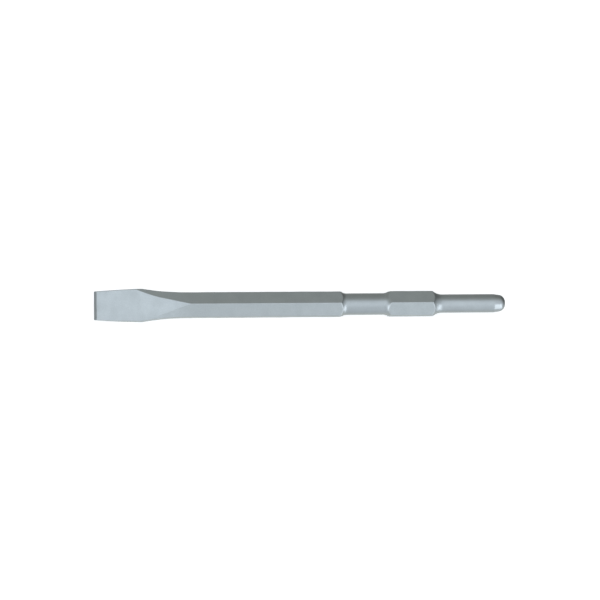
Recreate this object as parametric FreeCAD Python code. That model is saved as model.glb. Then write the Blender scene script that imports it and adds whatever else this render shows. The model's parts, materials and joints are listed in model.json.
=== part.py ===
"""A flat chisel bit for an electric breaker, forged, turned and ground from one hexagonal bar of steel.

The finished bit lies along X with one flat of the bar underneath, its striking end at +X and its
cutting edge at -X, and the origin is on its axis, halfway along. Each feature is first drawn with
the striking end at X = 0 and the two faces of the blade looking along +Z and -Z.
All lengths are in millimetres. A station is a distance from the striking end.
"""

import FreeCAD
import Part

import math
import os

from FreeCAD import Vector

# Driving dimensions: the bar and the whole bit.
overall_length = 286.6
hex_across_flats = 17.0
hex_corner_radius = 0.6

# The round tail, which enters the striker's guide.
tail_diameter = 12.8
tail_dome_radius = 4.8
tail_taper_length = 8.2
tail_taper_angle = 7.5
tail_taper_blend = 1.0
tail_shoulder_station = 49.2
tail_shoulder_angle = 50.0
tail_shoulder_fillet = 10.0

# The round neck, where the machine's retainer drops in.
neck_diameter = 15.0
rear_shoulder_station = 83.7
rear_shoulder_angle = 45.0
rear_shoulder_fillet = 6.0
front_shoulder_station = 114.2
front_shoulder_angle = 45.0
front_shoulder_fillet = 5.5

# The sides of the blade, which the forging spread.
spread_station = 236.8
spread_radius = 200.0
shoulder_width = 22.4
shoulder_station = 254.0
shoulder_radius = 8.0
blade_middle_width = 21.4
blade_middle_station = 270.6
blade_middle_radius = 300.0
blade_edge_width = 19.7
swell_station = 246.6
swell_angle = 5.0
swell_radius = 150.0

# The faces of the blade, which the dies pressed, and the ground cutting edge.
blade_start_station = 220.0
blade_edge_thickness = 2.6
bevel_length = 1.9
cutting_land = 0.3

# The soft edges that forging and blasting leave on the blade.
blade_edge_radius = 0.5
sharpest_blunted_turn = 12.0

# How the finished bit is placed, and how far the cutting shapes reach past it.
roll_onto_flat = 30.0
margin = 1.0
clearance = 12.0

HEX_TURN = 60.0
QUARTER_TURN = 90.0
PARTS_FOLDER = "parts"
ORIGIN = Vector(0, 0, 0)
BAR_AXIS = Vector(1, 0, 0)


def rounded_face(corners):
    """A face in the XY plane, from its closed outline's corners (station, offset, radius)."""
    points = [Vector(-station, offset, 0) for station, offset, _ in corners]
    count = len(corners)
    spans = []
    edges = []
    for index, (_, _, radius) in enumerate(corners):
        corner = points[index]
        back = (points[index - 1] - corner).normalize()
        ahead = (points[(index + 1) % count] - corner).normalize()
        half_angle = back.getAngle(ahead) / 2
        reach = radius / math.tan(half_angle)
        start = corner + back * reach
        end = corner + ahead * reach
        spans.append((start, end))
        if radius:
            inward = (back + ahead).normalize()
            middle = corner + inward * (radius / math.sin(half_angle) - radius)
            edges.append(Part.Arc(start, middle, end).toShape())
    for index in range(count):
        line = Part.LineSegment(spans[index][1], spans[(index + 1) % count][0])
        edges.append(line.toShape())
    return Part.Face(Part.Wire(Part.__sortEdges__(edges)))


def mirrored_prism(corners, roll=0.0):
    """A solid from half an outline, mirrored about the axis, extruded both ways and rolled."""
    other_half = [(station, -offset, radius) for station, offset, radius in reversed(corners)]
    face = rounded_face(corners + other_half)
    depth = hex_across_flats / 2 + clearance
    face.translate(Vector(0, 0, -depth))
    solid = face.extrude(Vector(0, 0, 2 * depth))
    solid.rotate(ORIGIN, BAR_AXIS, roll)
    return solid


def side_flats():
    """The bar's two side flats, spreading into the sides of the blade."""
    half_flats = hex_across_flats / 2
    return mirrored_prism([
        (-margin, half_flats, 0),
        (spread_station, half_flats, spread_radius),
        (shoulder_station, shoulder_width / 2, shoulder_radius),
        (blade_middle_station, blade_middle_width / 2, blade_middle_radius),
        (overall_length, blade_edge_width / 2, 0),
    ])


def sloping_flats(roll):
    """Two opposite sloping flats of the bar, swelling where the squeezed metal ran sideways."""
    half_flats = hex_across_flats / 2
    swell = (overall_length - swell_station) * math.tan(math.radians(swell_angle))
    return mirrored_prism([
        (-margin, half_flats, 0),
        (swell_station, half_flats, swell_radius),
        (overall_length, half_flats + swell, 0),
    ], roll)


def turn_across(solid, edge):
    """The angle between the two faces that meet along an edge, in degrees."""
    middle = edge.valueAt((edge.FirstParameter + edge.LastParameter) / 2)
    normals = []
    for face in solid.ancestorsOfType(edge, Part.Face):
        u, v = face.Surface.parameter(middle)
        normals.append(face.normalAt(u, v))
    return math.degrees(normals[0].getAngle(normals[1]))


def lengthwise_edges(solid, low, high, first_station=0.0):
    """Edges that run along the bar, past a station, where the surface turns by low to high degrees."""
    found = []
    for edge in solid.Edges:
        box = edge.BoundBox
        if box.XLength < margin or box.XMax > -first_station:
            continue
        if low < turn_across(solid, edge) < high:
            found.append(edge)
    return found


def forged_bar():
    """The hexagonal bar with its sides spread at the blade, and its long corners rounded."""
    bar = side_flats().common(sloping_flats(HEX_TURN)).common(sloping_flats(-HEX_TURN)).Solids[0]
    return bar.makeFillet(hex_corner_radius, lengthwise_edges(bar, HEX_TURN / 2, HEX_TURN * 1.5))


def blade_faces():
    """The wedge left between the two dies."""
    half_edge = blade_edge_thickness / 2
    corner_reach = hex_across_flats / 2 / math.cos(math.radians(HEX_TURN / 2))
    slope = (corner_reach - half_edge) / (overall_length - bevel_length - blade_start_station)
    back_end = corner_reach + slope * (blade_start_station + margin)
    front_end = half_edge - slope * bevel_length
    return mirrored_prism([(-margin, back_end, 0), (overall_length, front_end, 0)], QUARTER_TURN)


def ground_edge():
    """The two bevels that the grinding wheel leaves, with room for the rest of the bit."""
    half_edge = blade_edge_thickness / 2
    half_land = cutting_land / 2
    slope = (half_edge - half_land) / bevel_length
    back_end = half_land + slope * (overall_length + margin)
    return mirrored_prism([(-margin, back_end, 0), (overall_length, half_land, 0)], QUARTER_TURN)


def turned_envelope():
    """All that the lathe leaves: the tail, the neck, and room for the bar beside them."""
    tail = tail_diameter / 2
    neck = neck_diameter / 2
    room = hex_across_flats / 2 + clearance
    taper_drop = tail_taper_length * math.tan(math.radians(tail_taper_angle))
    tail_run = (room - tail) / math.tan(math.radians(tail_shoulder_angle))
    rear_run = (room - neck) / math.tan(math.radians(rear_shoulder_angle))
    front_run = (room - neck) / math.tan(math.radians(front_shoulder_angle))
    outline = rounded_face([
        (0, 0, 0),
        (0, tail - taper_drop, tail_dome_radius),
        (tail_taper_length, tail, tail_taper_blend),
        (tail_shoulder_station, tail, tail_shoulder_fillet),
        (tail_shoulder_station + tail_run, room, 0),
        (rear_shoulder_station - rear_run, room, 0),
        (rear_shoulder_station, neck, rear_shoulder_fillet),
        (front_shoulder_station, neck, front_shoulder_fillet),
        (front_shoulder_station + front_run, room, 0),
        (overall_length + margin, room, 0),
        (overall_length + margin, 0, 0),
    ])
    return outline.revolve(ORIGIN, BAR_AXIS, 360)


def flat_chisel():
    """The whole bit, lying on a flat, with the origin halfway along its axis."""
    blank = forged_bar().common(blade_faces()).Solids[0]
    soft_edges = lengthwise_edges(blank, sharpest_blunted_turn, 180, blade_start_station - margin)
    blank = blank.makeFillet(blade_edge_radius, soft_edges)
    chisel = blank.common(ground_edge()).common(turned_envelope()).Solids[0]
    chisel.rotate(ORIGIN, BAR_AXIS, roll_onto_flat)
    chisel.translate(Vector(overall_length / 2, 0, 0))
    return chisel


if __name__ == "__main__":
    os.makedirs(PARTS_FOLDER, exist_ok=True)
    flat_chisel().exportStep(os.path.join(PARTS_FOLDER, "flat_chisel.step"))
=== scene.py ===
"""A flat chisel bit for an electric breaker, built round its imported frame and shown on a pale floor.

The bit lies along X with one flat of its hexagonal bar underneath. Its striking end is at +X and its
cutting edge at -X. A station is a distance from the striking end, and every length is in metres.
"""

import bisect
import json
import math

import bmesh
import bpy
from bpy.props import FloatProperty, FloatVectorProperty, PointerProperty
from mathutils import Matrix, Vector, noise


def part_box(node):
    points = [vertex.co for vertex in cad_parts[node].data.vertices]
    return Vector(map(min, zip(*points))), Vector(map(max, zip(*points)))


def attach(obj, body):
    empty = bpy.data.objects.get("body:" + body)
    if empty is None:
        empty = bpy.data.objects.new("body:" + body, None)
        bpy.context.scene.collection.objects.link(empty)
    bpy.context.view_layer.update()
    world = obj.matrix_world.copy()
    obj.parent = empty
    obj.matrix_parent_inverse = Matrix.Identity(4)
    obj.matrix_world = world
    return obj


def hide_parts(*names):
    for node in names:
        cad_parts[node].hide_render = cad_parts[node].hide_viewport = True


bl_info = {
    "name": "Flat chisel bit",
    "version": (1, 0, 0),
    "blender": (4, 5, 0),
    "location": "3D View > Sidebar > Chisel",
    "description": "Builds a forged flat chisel bit for an electric breaker, and a studio for it",
    "category": "Add Mesh",
}

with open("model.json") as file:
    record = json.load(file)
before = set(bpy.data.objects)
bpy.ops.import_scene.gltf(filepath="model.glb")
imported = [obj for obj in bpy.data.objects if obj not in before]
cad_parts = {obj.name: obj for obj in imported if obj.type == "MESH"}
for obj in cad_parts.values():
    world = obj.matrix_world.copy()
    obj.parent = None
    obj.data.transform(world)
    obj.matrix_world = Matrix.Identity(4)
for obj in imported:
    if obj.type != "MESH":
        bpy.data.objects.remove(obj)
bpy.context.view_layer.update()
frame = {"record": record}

MM = 0.001

# Sizes that the frame gives, in millimetres: from end to end, over the flat that the bit rests on and
# the one above it, and across the tail's round wall.
MOUNTS = {mount["name"]: mount for mount in frame["record"]["mounts"]}
EDGE_CORNER, STRUCK_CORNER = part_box("flat_chisel")
OVERALL_LENGTH = (STRUCK_CORNER.x - EDGE_CORNER.x) / MM
ACROSS_FLATS = -2 * MOUNTS["rest_flat"]["pos_m"][2] / MM
TAIL_DIAMETER = 2 * MOUNTS["tail"]["dims"]["r_mm"]

# The turn from one flat of the hexagon to the next, its half, and the turn from a side flat to a
# face of the blade.
HEX_TURN = math.radians(60)
HALF_HEX_TURN = math.radians(30)
FACE_TURN = math.radians(90)

# Directions in the finished bit: along its axis, and along its cutting edge.
ALONG_BAR = (1.0, 0.0, 0.0)
ACROSS_BLADE = (0.0, math.cos(HALF_HEX_TURN), math.sin(HALF_HEX_TURN))

# How finely the mesh follows the steel: steps round a section, and steps along the bit.
SIDE_STEPS = 4
CORNER_STEPS = 4
SLOPE_STEPS = 11
FACE_CORNER_STEPS = 3
FACE_STEPS = 11
ARC_STEPS = 10
LONG_STEP = 1.1 * MM
FINE_STEP = 0.25 * MM
SHORTEST_STEP = 0.06 * MM
WELD_DISTANCE = 0.004 * MM

# Where the steps along the bit are fine: from before to after the foot of each turned shoulder, in
# widths of the bar, and over the bevels and a little more, in their lengths.
FINE_SHOULDERS = {
    "tail_shoulder": (-0.2, 0.4),
    "rear_shoulder": (-0.4, 0.0),
    "front_shoulder": (0.0, 0.5),
}
FINE_BEVELS = 1.2

# How far out the lathe's outline goes where it leaves the hexagon alone, in reaches of its corners.
LATHE_ROOM = 1.5

# How far apart the forging's waves are, how much of the blade's die lines and painted highlight its
# other flats take, and how far from a turned edge the steel is worn bright.
WAVE_LENGTH = 7.0 * MM
SIDE_PRESSING_AND_HIGHLIGHT = 0.7
EDGE_WEAR = 0.3 * MM

# The large flats have all the say in the smoothed normals.
FLATS_WEIGHT = 100

# A Mix node's sockets, by their places when it mixes numbers and when it mixes colours.
MIX_FACTOR = 0
MIX_NUMBER_A, MIX_NUMBER_B = 2, 3
MIX_A, MIX_B = 6, 7
MIX_COLOUR = 2

# How much each finish changes the tone of the plain steel. The lighter pressed and struck tones are
# painted highlight, and the darker ground tone is painted shade.
TONE_SHARES = {"pressed": 0.7, "turned": 0.8, "ground": 0.9, "edge": 0.2, "struck": 0.9}

# The blast's cloudy patches, where it dwelt longer, change the tone and the roughness a little. Its
# beads of 0.1 mm leave pits too fine to see, so the grain is drawn at 0.5 mm.
CLOUD_SIZE = 9.1 * MM
CLOUD_RANGE = (0.3, 0.7)
CLOUD_TONES = (0.95, 1.03)
CLOUD_ROUGHNESS = 0.04
GRAIN_SIZE = 0.5 * MM
GRAIN_RANGE = (0.35, 0.65)
GRAIN_TONES = (0.95, 1.05)
GRAIN_DEPTH = 0.06 * MM
GRAIN_STRENGTH = 0.35

# Fine lines in the steel: the direction across them, how far apart they are and how deep. The tool's
# feed of 0.3 mm leaves rings round the tail and neck, drawn 1.2 mm apart to be seen. The grinding
# wheel's lines run from the bevels' backs to the cutting edge. The dies leave faint lines the same
# way on the blade.
LINES = {
    "turned": (ALONG_BAR, 1.2 * MM, 0.02 * MM),
    "ground": (ACROSS_BLADE, 0.4 * MM, 0.015 * MM),
    "pressed": (ACROSS_BLADE, 1.5 * MM, 0.01 * MM),
}

# The room that the steel mirrors. It is brightest towards BRIGHT_WAY, and has a dark corner towards
# DARK_WAY. A range says how near to that way a change of light starts and ends, as a cosine, and
# FLOOR_RANGE how far down.
BRIGHT_WAY = (0.15, -0.93, 0.34)
BRIGHT_RANGE = (-0.25, 0.66)
DARK_WAY = (0.80, 0.58, 0.08)
DARK_RANGE = (0.62, 0.98)
FLOOR_RANGE = (-0.3, -0.8)

# The softboxes: width, height and distance from the bit's middle, and the way to each.
SOFTBOXES = {
    "overhead_softbox": (3.0, 3.0, 2.8, (-0.05, -0.47, 0.88)),
    "side_softbox": (1.15, 2.3, 2.0, (0.64, -0.76, 0.04)),
    "left_softbox": (1.3, 1.6, 2.0, (-0.74, -0.66, 0.08)),
}

# From the floor's middle to its sides, how many cuts make its grid, and how far the camera sees.
FLOOR_REACH = 4.0
FLOOR_CUTS = 7
CAMERA_REACH = 20.0


# Small helpers.


def linear(hex_colour):
    """An sRGB hex colour as linear red, green and blue."""
    channels = [int(hex_colour[i:i + 2], 16) / 255 for i in (1, 3, 5)]
    return [c / 12.92 if c <= 0.04045 else ((c + 0.055) / 1.055) ** 2.4 for c in channels]


def add_node(tree, kind, settings=None, links=None):
    """A node of that kind. Settings go on it or on its sockets, and links join sockets to its own."""
    node = tree.nodes.new("ShaderNode" + kind)
    for name, value in (settings or {}).items():
        if isinstance(name, str) and hasattr(node, name):
            setattr(node, name, value)
        else:
            node.inputs[name].default_value = value
    for name, source in (links or {}).items():
        tree.links.new(source, node.inputs[name])
    return node


def length(name, description, millimetres):
    return FloatProperty(
        name=name, description=description, default=millimetres * MM, min=0.0,
        precision=5, subtype="DISTANCE", unit="LENGTH",
    )


def shift(name, description, millimetres):
    return FloatProperty(
        name=name, description=description, default=millimetres * MM,
        precision=5, subtype="DISTANCE", unit="LENGTH",
    )


def angle(name, description, degrees):
    return FloatProperty(
        name=name, description=description, default=math.radians(degrees), subtype="ANGLE",
    )


def colour(name, description, hex_colour):
    return FloatVectorProperty(
        name=name, description=description, default=linear(hex_colour), size=3,
        min=0.0, max=1.0, subtype="COLOR",
    )


def factor(name, description, value):
    return FloatProperty(
        name=name, description=description, default=value, min=0.0, max=1.0, subtype="FACTOR",
    )


def power(name, description, watts):
    return FloatProperty(name=name, description=description, default=watts, min=0.0, unit="POWER")


# What a user can change.


class ChiselSizes(bpy.types.PropertyGroup):
    """Sizes of the bit, in metres."""

    overall_length: length("Overall length", "From the striking end to the cutting edge", OVERALL_LENGTH)
    across_flats: length("Across flats", "Width of the hexagonal bar over two flats", ACROSS_FLATS)
    bar_corner: length("Bar corner radius", "Rounding of the bar's long corners", 0.6)

    tail_diameter: length("Tail diameter", "Round tail that enters the machine's guide", TAIL_DIAMETER)
    dome_radius: length("Dome radius", "Rounding of the striking end", 4.8)
    taper_length: length("Tail taper length", "Length of the taper behind the dome", 8.2)
    taper_angle: angle("Tail taper angle", "Slope of that taper", 7.5)
    taper_blend: length("Tail taper blend", "Rounding between taper and tail", 1.0)
    tail_shoulder: length("Tail shoulder", "Station where the tail meets its shoulder", 49.2)
    tail_slope: angle("Tail shoulder slope", "Steepest slope of the turned shoulder", 50.0)
    tail_fillet: length("Tail fillet", "Curve of that shoulder", 10.0)

    neck_diameter: length("Neck diameter", "Round neck for the machine's latch", 15.0)
    rear_shoulder: length("Rear neck shoulder", "Station where the neck meets the rear hexagon", 83.7)
    rear_slope: angle("Rear shoulder slope", "Steepest slope of that shoulder", 45.0)
    rear_fillet: length("Rear shoulder fillet", "Curve of that shoulder", 6.0)
    front_shoulder: length("Front neck shoulder", "Station where the neck meets the long bar", 114.2)
    front_slope: angle("Front shoulder slope", "Slope of that shoulder", 45.0)
    front_fillet: length("Front shoulder fillet", "Curve at the foot of that shoulder", 5.5)

    spread_station: length("Spread station", "Where the bar's sides begin to spread", 236.8)
    spread_radius: length("Spread radius", "Curve of the spreading sides", 200.0)
    shoulder_width: length("Shoulder width", "Width over the blade's shoulders", 22.4)
    shoulder_station: length("Shoulder station", "Where the shoulders are", 254.0)
    shoulder_radius: length("Shoulder radius", "Rounding of the shoulders", 8.0)
    middle_width: length("Blade middle width", "Width between shoulders and edge", 21.4)
    middle_station: length("Blade middle station", "Where that width is", 270.6)
    middle_radius: length("Blade middle radius", "Curve of the blade's sides there", 300.0)
    edge_width: length("Edge width", "Width of the cutting edge", 19.7)
    swell_station: length("Swell station", "Where two opposite sloping flats swell outwards", 246.6)
    swell_angle: angle("Swell angle", "Slope of that swelling", 5.0)
    swell_radius: length("Swell radius", "Curve at its start", 150.0)
    squeeze_station: length("Squeeze station", "Where the other two sloping flats swell", 224.0)
    squeeze_angle: angle("Squeeze angle", "Slope of that uneven swelling", 4.0)
    squeeze_radius: length("Squeeze radius", "Curve at its start", 100.0)

    blade_start: length("Blade start", "Station where the blade's faces leave the bar", 220.0)
    edge_thickness: length("Edge thickness", "Thickness of the blade at the bevels", 2.6)
    blade_corner: length("Blade corner radius", "Rounding of the blade's soft edges", 0.5)
    bevel_length: length("Bevel length", "Length of the ground bevels", 1.9)
    cutting_land: length("Cutting land", "Flat left along the cutting edge", 0.3)


class SteelFinish(bpy.types.PropertyGroup):
    """Colours and roughness of the steel."""

    steel: colour("Steel", "Blasted steel", "#b1b8b8")
    # A lighter tone, painted highlight, on the blade's faces and, fading in, on the other flats near
    # them.
    pressed_steel: colour("Pressed steel", "The blade's faces, which the dies flattened", "#c0c8ca")
    turned_steel: colour("Turned steel", "The blasted neck and tail", "#adb4b5")
    # A darker tone, painted shade, on the ground bevels, which mirror the dark side of the room.
    ground_shade_steel: colour("Ground steel", "The ground bevels", "#9aa0a2")
    # A lighter tone, painted highlight, on the struck end.
    struck_highlight_steel: colour("Struck steel", "The struck end", "#b2b8b9")
    bright: colour("Bright steel", "Worn edges", "#c6cbcc")
    roughness: factor("Roughness", "Roughness of the blasted skin", 0.46)
    turned_roughness: factor("Turned roughness", "Roughness of the neck and tail", 0.36)
    ground_roughness: factor("Ground roughness", "Roughness of the bevels", 0.32)
    struck_roughness: factor("Struck roughness", "Roughness of the struck end", 0.30)
    waviness: length("Waviness", "Height of the forging's gentle waves", 0.10)


class StudioSettings(bpy.types.PropertyGroup):
    """The floor, the lights and the camera."""

    floor: colour("Floor", "Pale floor", "#f8f8f8")
    floor_glow: factor("Floor glow", "Light that comes up through the sheet", 0.52)
    daylight: colour("Daylight", "Colour of the light from the front", "#f2f7ff")
    shade: colour("Shade", "Colour of the light from behind", "#fdfffc")
    front_light: factor("Front light", "Brightness of the room in front of the bit", 0.87)
    back_light: factor("Back light", "Brightness of the room behind it", 0.42)
    overhead_power: power("Overhead power", "Power of the large soft light overhead", 12.0)
    side_power: power("Side power", "Power of the soft light to the front right", 11.5)
    left_power: power("Left power", "Power of the soft light to the front left", 9.5)
    floor_light: factor("Floor light", "Brightness that the steel sees underneath it", 0.85)
    corner_light: factor("Corner light", "Brightness of the dark corner behind the struck end", 0.18)
    camera_azimuth: angle("Camera azimuth", "Camera's turn from the bit's front, to its left", 12.0)
    camera_elevation: angle("Camera elevation", "Camera's height above the floor", 54.1)
    camera_roll: angle("Camera roll", "Turn of the camera about its own line of sight", 9.4)
    camera_distance: length("Camera distance", "From the bit's middle to the camera", 1800.0)
    view_width: length("View width", "Width that the camera sees at the bit", 415.6)
    aim_right: shift("Aim to the right", "From the bit's middle to the view's middle", -0.9)
    aim_up: shift("Aim upwards", "From the bit's middle to the view's middle", 3.1)


# The outlines that shape the bit.


def rounded_outline(corners):
    """Points along an open outline of corners (station, offset, radius), with the inner ones rounded."""
    points = [Vector(corners[0][:2])]
    for before, corner, after in zip(corners, corners[1:], corners[2:]):
        middle = Vector(corner[:2])
        back = (Vector(before[:2]) - middle).normalized()
        ahead = (Vector(after[:2]) - middle).normalized()
        half_angle = back.angle(ahead) / 2
        radius = corner[2]
        if not radius:
            points.append(middle)
            continue
        centre = middle + (back + ahead).normalized() * (radius / math.sin(half_angle))
        start = middle + back * (radius / math.tan(half_angle)) - centre
        turn = math.copysign(math.pi - 2 * half_angle, start.x * ahead.y - start.y * ahead.x)
        for step in range(ARC_STEPS + 1):
            points.append(centre + Matrix.Rotation(turn * step / ARC_STEPS, 2) @ start)
    points.append(Vector(corners[-1][:2]))
    return points


class Outline:
    """An outline that can be asked for its offset at any station."""

    def __init__(self, corners):
        self.points = rounded_outline(corners)
        self.stations = [point.x for point in self.points]

    def at(self, station):
        """The offset there, on the straight line between the two nearest points."""
        after = bisect.bisect_right(self.stations, station)
        after = min(max(after, 1), len(self.points) - 1)
        start, end = self.points[after - 1], self.points[after]
        if station >= end.x:
            return end.y
        return start.y + (end.y - start.y) * (station - start.x) / (end.x - start.x)


class ChiselShape:
    """The outlines of one bit, worked out from its sizes.

    They are its half widths over the side flats, over the sloping flats, between the dies' faces and
    between the bevels, and the radius that the lathe leaves.
    """

    def __init__(self, sizes):
        self.sizes = sizes
        half_flats = sizes.across_flats / 2
        end = sizes.overall_length
        self.side = Outline([
            (0, half_flats, 0),
            (sizes.spread_station, half_flats, sizes.spread_radius),
            (sizes.shoulder_station, sizes.shoulder_width / 2, sizes.shoulder_radius),
            (sizes.middle_station, sizes.middle_width / 2, sizes.middle_radius),
            (end, sizes.edge_width / 2, 0),
        ])
        self.slope, self.squeezed = (
            Outline([
                (0, half_flats, 0),
                (start, half_flats, radius),
                (end, half_flats + (end - start) * math.tan(rise), 0),
            ])
            for start, rise, radius in (
                (sizes.swell_station, sizes.swell_angle, sizes.swell_radius),
                (sizes.squeeze_station, sizes.squeeze_angle, sizes.squeeze_radius),
            )
        )
        corner_reach = half_flats / math.cos(HALF_HEX_TURN)
        half_edge = sizes.edge_thickness / 2
        bevel_station = end - sizes.bevel_length
        fall = (corner_reach - half_edge) / (bevel_station - sizes.blade_start)
        self.face = Outline([
            (0, corner_reach + fall * sizes.blade_start, 0),
            (end, half_edge - fall * sizes.bevel_length, 0),
        ])
        half_land = sizes.cutting_land / 2
        grind = (half_edge - half_land) / sizes.bevel_length
        self.bevel = Outline([(0, half_land + grind * end, 0), (end, half_land, 0)])
        self.lathe = Outline(self.lathe_corners(corner_reach))

    def lathe_corners(self, corner_reach):
        """The outline that the lathe leaves, from the middle of the struck end to the cutting edge."""
        sizes = self.sizes
        tail = sizes.tail_diameter / 2
        neck = sizes.neck_diameter / 2
        room = corner_reach * LATHE_ROOM
        taper_drop = sizes.taper_length * math.tan(sizes.taper_angle)
        tail_run = (room - tail) / math.tan(sizes.tail_slope)
        rear_run = (room - neck) / math.tan(sizes.rear_slope)
        front_run = (room - neck) / math.tan(sizes.front_slope)
        return [
            (0, 0, 0),
            (0, tail - taper_drop, sizes.dome_radius),
            (sizes.taper_length, tail, sizes.taper_blend),
            (sizes.tail_shoulder, tail, sizes.tail_fillet),
            (sizes.tail_shoulder + tail_run, room, 0),
            (sizes.rear_shoulder - rear_run, room, 0),
            (sizes.rear_shoulder, neck, sizes.rear_fillet),
            (sizes.front_shoulder, neck, sizes.front_fillet),
            (sizes.front_shoulder + front_run, room, 0),
            (sizes.overall_length, room, 0),
        ]

    def stations(self):
        """Stations of the mesh's rings: every bend of each outline, with fine steps at the shoulders."""
        sizes = self.sizes
        end = sizes.overall_length
        marks = {0.0, end, end - sizes.bevel_length}
        for outline in (self.side, self.slope, self.squeezed, self.lathe):
            marks.update(station for station in outline.stations if 0 < station < end)
        marks = sorted(marks)
        fine_zones = [(end - sizes.bevel_length * FINE_BEVELS, end)]
        for name, (before, after) in FINE_SHOULDERS.items():
            foot = getattr(sizes, name)
            fine_zones.append((foot + sizes.across_flats * before, foot + sizes.across_flats * after))
        rings = []
        for start, stop in zip(marks, marks[1:]):
            # Two bends that nearly meet share one ring, except where the dome begins.
            if rings and start - rings[-1] < SHORTEST_STEP and start > SHORTEST_STEP:
                start = rings[-1]
            fine = any(low <= (start + stop) / 2 <= high for low, high in fine_zones)
            count = max(1, math.ceil((stop - start) / (FINE_STEP if fine else LONG_STEP)))
            rings.extend(start + (stop - start) * i / count for i in range(count))
        return sorted(set(rings)) + [end]

    def pressing(self, station):
        """How far the dies press the bar: 0 at the blade's start, rising to 1 at its shoulders."""
        sizes = self.sizes
        along = (station - sizes.blade_start) / (sizes.shoulder_station - sizes.blade_start)
        return min(max(along, 0.0), 1.0)

    def corner_radius(self, station):
        """The rounding of the long corners, which eases from the bar's to the blade's."""
        sizes = self.sizes
        return sizes.bar_corner + (sizes.blade_corner - sizes.bar_corner) * self.pressing(station)

    def quarter(self, station, sloping_flat):
        """A quarter of the section, as (across, up, corner), from one side to the middle of a face."""
        radius = self.corner_radius(station)
        side = self.side.at(station) - radius
        slope = sloping_flat.at(station) - radius
        face = min(self.face.at(station) - radius, slope / math.cos(HALF_HEX_TURN))
        cos_turn, sin_turn = math.cos(HEX_TURN), math.sin(HEX_TURN)
        slope = min(slope, side * cos_turn + face * sin_turn)
        low = Vector((side, (slope - side * cos_turn) / sin_turn))
        high = Vector((max((slope - face * sin_turn) / cos_turn, 0.0), face))
        outward = Vector((cos_turn, sin_turn)) * radius
        points = []

        def run(start, end, steps):
            points.extend((*start.lerp(end, i / steps), 0.0) for i in range(steps))

        def arc(centre, start, end, steps):
            for i in range(steps):
                turn = start + (end - start) * i / steps
                bend = math.sin(math.pi * i / steps)
                points.append((*(centre + Vector((math.cos(turn), math.sin(turn))) * radius), bend))

        run(Vector((side + radius, 0)), low + Vector((radius, 0)), SIDE_STEPS)
        arc(low, 0.0, HEX_TURN, CORNER_STEPS)
        run(low + outward, high + outward, SLOPE_STEPS)
        arc(high, HEX_TURN, FACE_TURN, FACE_CORNER_STEPS)
        run(high + Vector((0, radius)), Vector((0, face + radius)), FACE_STEPS)
        points.append((0.0, face + radius, 0.0))
        return points

    def section(self, station):
        """The whole section, as (across, up, corner), anticlockwise from the middle of one side.

        The squeezed metal ran out unevenly, so two opposite sloping flats swell sooner than the others.
        """
        right = self.quarter(station, self.slope)
        left = self.quarter(station, self.squeezed)
        half = right + [(-across, up, corner) for across, up, corner in reversed(left[:-1])]
        return half + [(-across, -up, corner) for across, up, corner in half[1:-1]]


# The bit.


def worn(value, limit):
    """One at zero, falling to none at the limit on either side."""
    return max(0.0, 1.0 - abs(value) / limit)


def wave(across, up, station):
    """The forging's gentle waves at one point, between about -1 and 1."""
    return noise.noise(Vector((station, across, up)) / WAVE_LENGTH)


def chisel_mesh(sizes, waviness):
    """The bit as one closed mesh of rings, with how each point was made and its painted light in its
    attributes.
    """
    shape = ChiselShape(sizes)
    mesh = bmesh.new()
    turned_layer = mesh.verts.layers.float.new("turned")
    ground_and_shade_layer = mesh.verts.layers.float.new("ground")
    edge_layer = mesh.verts.layers.float.new("edge")
    struck_and_highlight_layer = mesh.verts.layers.float.new("struck")
    pressed_layer = mesh.verts.layers.float.new("pressed")
    roll = Matrix.Rotation(HALF_HEX_TURN, 4, "X")
    middle = sizes.overall_length / 2
    rings = []
    for station in shape.stations():
        lathe = shape.lathe.at(station)
        bevel = shape.bevel.at(station)
        pressed = shape.pressing(station)
        ring = []
        for across, up, corner in shape.section(station):
            reach = math.hypot(across, up)
            ground = abs(up) > bevel
            on_face = abs(up) > shape.face.at(station) - WELD_DISTANCE
            if ground:
                up = math.copysign(bevel, up)
            turned = reach > lathe
            if turned:
                across, up = across * lathe / reach, up * lathe / reach
            elif not ground:
                swell = 1 + waviness * wave(across, up, station) / reach
                across, up = across * swell, up * swell
            vert = mesh.verts.new(roll @ Vector((middle - station, across, up)))
            vert[turned_layer] = float(turned)
            # Ground points get the bevels' smoother finish and their painted shade.
            vert[ground_and_shade_layer] = float(ground)
            # The struck end gets its lower roughness and its painted highlight.
            vert[struck_and_highlight_layer] = float(station < sizes.taper_length)
            # The blade's faces take the whole painted highlight, and the other flats a share that grows
            # towards the shoulders.
            vert[pressed_layer] = float(pressed > 0) if on_face else pressed * SIDE_PRESSING_AND_HIGHLIGHT
            crease = worn(reach - lathe, EDGE_WEAR)
            vert[edge_layer] = max(crease, 0.0 if turned or ground else corner)
            ring.append(vert)
        rings.append(ring)
    for ring, following in zip(rings, rings[1:]):
        for i, vert in enumerate(ring):
            mesh.faces.new((ring[i - 1], vert, following[i], following[i - 1]))
    for ring in (rings[0], rings[-1]):
        cap_ring(mesh, ring)
    bmesh.ops.remove_doubles(mesh, verts=mesh.verts, dist=WELD_DISTANCE)
    bmesh.ops.recalc_face_normals(mesh, faces=mesh.faces)
    for face in mesh.faces:
        face.smooth = True
    data = bpy.data.meshes.new("forged_flat_chisel")
    mesh.to_mesh(data)
    mesh.free()
    return data


def cap_ring(mesh, ring):
    """Closes a ring with a strip of faces between its upper and its lower half."""
    half = len(ring) // 2
    for i in range(half):
        corners = [ring[i], ring[i + 1], ring[-(i + 1) % len(ring)], ring[-i % len(ring)]]
        distinct = list(dict.fromkeys(corners))
        if len(distinct) > 2:
            mesh.faces.new(distinct)


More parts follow.
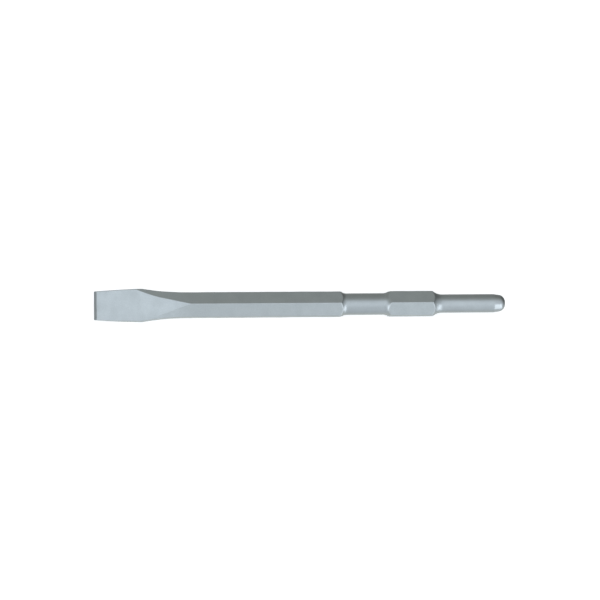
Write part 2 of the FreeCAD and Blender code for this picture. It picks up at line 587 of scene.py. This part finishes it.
def streaks(tree, place, way, spacing):
    """Straight lines side by side, that far apart in the given direction."""
    along = add_node(
        tree, "VectorMath", {"operation": "DOT_PRODUCT", 1: way}, {0: place}
    ).outputs["Value"]
    return add_node(
        tree, "TexNoise", {"noise_dimensions": "1D", "Scale": 1 / spacing, "Detail": 1.0}, {"W": along}
    ).outputs["Fac"]


def blasted_steel(finish):
    """Alloy tool steel, drop-forged and turned, then bead-blasted.

    The beads leave an even, matt grey skin with a very fine grain, so that light spreads softly over
    it. The turned neck and tail keep faint rings, worn corners are a little brighter, and the ground
    bevels are smoother than the rest. The blade's faces and the struck end carry a painted highlight,
    a lighter tone, and the ground bevels a painted shade, a darker tone.
    """
    material = bpy.data.materials.new("Bead-blasted forged tool steel")
    material.use_nodes = True
    tree = material.node_tree
    tree.nodes.clear()
    place = add_node(tree, "TexCoord").outputs["Object"]
    masks = {
        name: add_node(tree, "Attribute", {"attribute_name": name}).outputs["Fac"]
        for name in ("pressed", "turned", "ground", "edge", "struck")
    }

    clouds = add_node(
        tree, "TexNoise", {"Scale": 1 / CLOUD_SIZE, "Detail": 3.0, "Roughness": 0.55}, {"Vector": place}
    ).outputs["Fac"]
    grain = add_node(
        tree, "TexNoise", {"Scale": 1 / GRAIN_SIZE, "Detail": 2.0, "Roughness": 0.6}, {"Vector": place}
    ).outputs["Fac"]

    amounts = {
        name: add_node(
            tree, "Math", {"operation": "MULTIPLY", 1: share}, {0: masks[name]}
        ).outputs["Value"]
        for name, share in TONE_SHARES.items()
    }
    # The pressed and struck tones are painted highlight, and the ground tone is painted shade.
    skin = add_node(
        tree, "Mix",
        {"data_type": "RGBA", MIX_A: (*finish.steel, 1.0), MIX_B: (*finish.pressed_steel, 1.0)},
        {MIX_FACTOR: amounts["pressed"]},
    ).outputs[MIX_COLOUR]
    for name, tone in (
        ("turned", finish.turned_steel), ("ground", finish.ground_shade_steel),
        ("edge", finish.bright), ("struck", finish.struck_highlight_steel),
    ):
        skin = add_node(
            tree, "Mix", {"data_type": "RGBA", MIX_B: (*tone, 1.0)},
            {MIX_FACTOR: amounts[name], MIX_A: skin},
        ).outputs[MIX_COLOUR]
    for pattern, (low, high), (darkest, lightest) in (
        (clouds, CLOUD_RANGE, CLOUD_TONES), (grain, GRAIN_RANGE, GRAIN_TONES),
    ):
        shade = add_node(
            tree, "MapRange",
            {"From Min": low, "From Max": high, "To Min": darkest, "To Max": lightest},
            {"Value": pattern},
        ).outputs["Result"]
        skin = add_node(
            tree, "VectorMath", {"operation": "SCALE"}, {"Vector": skin, "Scale": shade}
        ).outputs["Vector"]

    low, high = CLOUD_RANGE
    rough = add_node(
        tree, "MapRange",
        {"From Min": low, "From Max": high,
         "To Min": finish.roughness + CLOUD_ROUGHNESS, "To Max": finish.roughness - CLOUD_ROUGHNESS},
        {"Value": clouds},
    ).outputs["Result"]
    for name, value in (
        ("turned", finish.turned_roughness), ("ground", finish.ground_roughness),
        ("struck", finish.struck_roughness),
    ):
        rough = add_node(
            tree, "Mix", {"data_type": "FLOAT", MIX_NUMBER_B: value},
            {MIX_FACTOR: masks[name], MIX_NUMBER_A: rough},
        ).outputs["Result"]

    bump = add_node(
        tree, "Bump", {"Strength": GRAIN_STRENGTH, "Distance": GRAIN_DEPTH}, {"Height": grain}
    ).outputs["Normal"]
    for name, (way, spacing, depth) in LINES.items():
        lines = streaks(tree, place, way, spacing)
        bump = add_node(
            tree, "Bump", {"Distance": depth}, {"Height": lines, "Strength": masks[name], "Normal": bump}
        ).outputs["Normal"]
    steel = add_node(
        tree, "BsdfPrincipled", {"Metallic": 1.0},
        {"Base Color": skin, "Roughness": rough, "Normal": bump},
    )
    add_node(tree, "OutputMaterial", links={"Surface": steel.outputs["BSDF"]})
    return material


class BuildFlatChisel(bpy.types.Operator):
    """Builds the forged flat chisel bit in place of its CAD node"""

    bl_idname = "chisel.build_flat_chisel"
    bl_label = "Build flat chisel"

    def execute(self, context):
        scene = context.scene
        data = chisel_mesh(scene.chisel_sizes, scene.steel_finish.waviness)
        data.materials.append(blasted_steel(scene.steel_finish))
        chisel = bpy.data.objects.new("forged_flat_chisel", data)
        scene.collection.objects.link(chisel)
        weighted = chisel.modifiers.new("even_normals", "WEIGHTED_NORMAL")
        weighted.weight = FLATS_WEIGHT
        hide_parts("flat_chisel")
        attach(chisel, "root")
        return {"FINISHED"}


# The studio.


def opal_floor(studio):
    """Opal acrylic sheet, lit from underneath, which shows only a faint soft shadow."""
    material = bpy.data.materials.new("Opal acrylic sheet")
    material.use_nodes = True
    tree = material.node_tree
    tree.nodes.clear()
    acrylic = add_node(tree, "BsdfPrincipled", {
        "Base Color": (*studio.floor, 1.0),
        "Roughness": 0.9,
        "Emission Color": (1.0, 1.0, 1.0, 1.0),
        "Emission Strength": studio.floor_glow,
    })
    add_node(tree, "OutputMaterial", links={"Surface": acrylic.outputs["BSDF"]})
    return material


def studio_surround(studio):
    """A room that is bright in front of the bit and dim behind it, with one dark corner."""
    world = bpy.data.worlds.new("Studio surround")
    world.use_nodes = True
    tree = world.node_tree
    tree.nodes.clear()
    direction = add_node(tree, "TexCoord").outputs["Generated"]
    height = add_node(tree, "SeparateXYZ", links={"Vector": direction}).outputs["Z"]
    towards_bright, towards_dark = (
        add_node(
            tree, "VectorMath", {"operation": "DOT_PRODUCT", 1: way}, {0: direction}
        ).outputs["Value"]
        for way in (BRIGHT_WAY, DARK_WAY)
    )
    start, end = BRIGHT_RANGE
    nearness = add_node(
        tree, "MapRange", {"From Min": start, "From Max": end, "interpolation_type": "SMOOTHSTEP"},
        {"Value": towards_bright},
    ).outputs["Result"]
    tint = add_node(
        tree, "Mix",
        {"data_type": "RGBA", MIX_A: (*studio.shade, 1.0), MIX_B: (*studio.daylight, 1.0)},
        {MIX_FACTOR: nearness},
    ).outputs[MIX_COLOUR]
    level = add_node(
        tree, "MapRange", {"To Min": studio.back_light, "To Max": studio.front_light},
        {"Value": nearness},
    ).outputs["Result"]
    for place, (start, end), light in (
        (height, FLOOR_RANGE, studio.floor_light), (towards_dark, DARK_RANGE, studio.corner_light),
    ):
        level = add_node(
            tree, "MapRange",
            {"From Min": start, "From Max": end, "To Max": light, "interpolation_type": "SMOOTHSTEP"},
            {"Value": place, "To Min": level},
        ).outputs["Result"]
    room = add_node(tree, "Background", links={"Color": tint, "Strength": level})
    add_node(tree, "OutputWorld", links={"Surface": room.outputs["Background"]})
    return world


def resting_points(chisel, sizes):
    """The lowest points of the bit's front half and of its rear hexagon, which it lies on."""
    points = [vertex.co for vertex in chisel.data.vertices]
    rear_start = sizes.overall_length / 2 - sizes.rear_shoulder
    front = min((point for point in points if point.x < 0), key=lambda point: point.z)
    rear = min((point for point in points if point.x > rear_start), key=lambda point: point.z)
    return front, rear


class BuildStudio(bpy.types.Operator):
    """Builds the floor, the lights and the camera"""

    bl_idname = "chisel.build_studio"
    bl_label = "Build studio"

    def execute(self, context):
        scene = context.scene
        studio = scene.studio_settings
        self.floor(scene, studio)
        self.lights(scene, studio)
        self.camera(scene, studio)
        scene.view_settings.view_transform = "Standard"
        return {"FINISHED"}

    def floor(self, scene, studio):
        """A large flat floor under the two points that the bit lies on."""
        front, rear = resting_points(bpy.data.objects["forged_flat_chisel"], scene.chisel_sizes)
        rise = (rear.z - front.z) / (rear.x - front.x)
        mesh = bmesh.new()
        corners = [
            mesh.verts.new((x, y, front.z + rise * (x - front.x)))
            for x, y in (
                (-FLOOR_REACH, -FLOOR_REACH), (FLOOR_REACH, -FLOOR_REACH),
                (FLOOR_REACH, FLOOR_REACH), (-FLOOR_REACH, FLOOR_REACH),
            )
        ]
        mesh.faces.new(corners)
        bmesh.ops.subdivide_edges(mesh, edges=mesh.edges, cuts=FLOOR_CUTS, use_grid_fill=True)
        data = bpy.data.meshes.new("studio_floor")
        mesh.to_mesh(data)
        mesh.free()
        data.materials.append(opal_floor(studio))
        floor = bpy.data.objects.new("studio_floor", data)
        # The steel mirrors the room in place of the floor, and the softboxes shine past its sides.
        floor.visible_glossy = False
        floor.visible_shadow = False
        scene.collection.objects.link(floor)

    def lights(self, scene, studio):
        """The room that the steel mirrors, and the softboxes, which face the bit."""
        scene.world = studio_surround(studio)
        for name, watts in (
            ("overhead_softbox", studio.overhead_power),
            ("side_softbox", studio.side_power),
            ("left_softbox", studio.left_power),
        ):
            width, height, distance, way = SOFTBOXES[name]
            light = bpy.data.lights.new(name, "AREA")
            light.shape = "RECTANGLE"
            light.size = width
            light.size_y = height
            light.energy = watts
            light.color = studio.daylight
            lamp = bpy.data.objects.new(name, light)
            direction = Vector(way).normalized()
            lamp.location = direction * distance
            lamp.rotation_euler = direction.to_track_quat("Z", "Y").to_euler()
            scene.collection.objects.link(lamp)

    def camera(self, scene, studio):
        """The camera, a little rolled, which looks down at the bit from its front."""
        view = bpy.data.cameras.new("studio_camera")
        view.lens = view.sensor_width * studio.camera_distance / studio.view_width
        view.clip_end = CAMERA_REACH
        camera = bpy.data.objects.new("studio_camera", view)
        level = math.cos(studio.camera_elevation)
        direction = Vector((
            -level * math.sin(studio.camera_azimuth),
            -level * math.cos(studio.camera_azimuth),
            math.sin(studio.camera_elevation),
        ))
        level_turn = direction.to_track_quat("Z", "Y").to_matrix()
        turn = level_turn @ Matrix.Rotation(studio.camera_roll, 3, "Z")
        camera.location = turn @ Vector((studio.aim_right, studio.aim_up, studio.camera_distance))
        camera.rotation_euler = turn.to_euler()
        scene.collection.objects.link(camera)
        scene.camera = camera


class ChiselPanel(bpy.types.Panel):
    """Lists the steps that build the bit and its studio"""

    bl_idname = "VIEW3D_PT_chisel"
    bl_label = "Flat chisel"
    bl_space_type = "VIEW_3D"
    bl_region_type = "UI"
    bl_category = "Chisel"

    def draw(self, context):
        scene = context.scene
        for step in STEPS:
            self.layout.operator(step.bl_idname)
        for group in (scene.chisel_sizes, scene.steel_finish, scene.studio_settings):
            box = self.layout.box()
            for name in group.__annotations__:
                box.prop(group, name)


GROUPS = {
    "chisel_sizes": ChiselSizes,
    "steel_finish": SteelFinish,
    "studio_settings": StudioSettings,
}
STEPS = (BuildFlatChisel, BuildStudio)


def register():
    for group in GROUPS.values():
        bpy.utils.register_class(group)
    for step in STEPS:
        bpy.utils.register_class(step)
    bpy.utils.register_class(ChiselPanel)
    for name, group in GROUPS.items():
        setattr(bpy.types.Scene, name, PointerProperty(type=group))


def unregister():
    for name in GROUPS:
        delattr(bpy.types.Scene, name)
    bpy.utils.unregister_class(ChiselPanel)
    for step in reversed(STEPS):
        bpy.utils.unregister_class(step)
    for group in reversed(GROUPS.values()):
        bpy.utils.unregister_class(group)


def main():
    register()
    bpy.ops.chisel.build_flat_chisel()
    bpy.ops.chisel.build_studio()


if __name__ == "__main__":
    main()
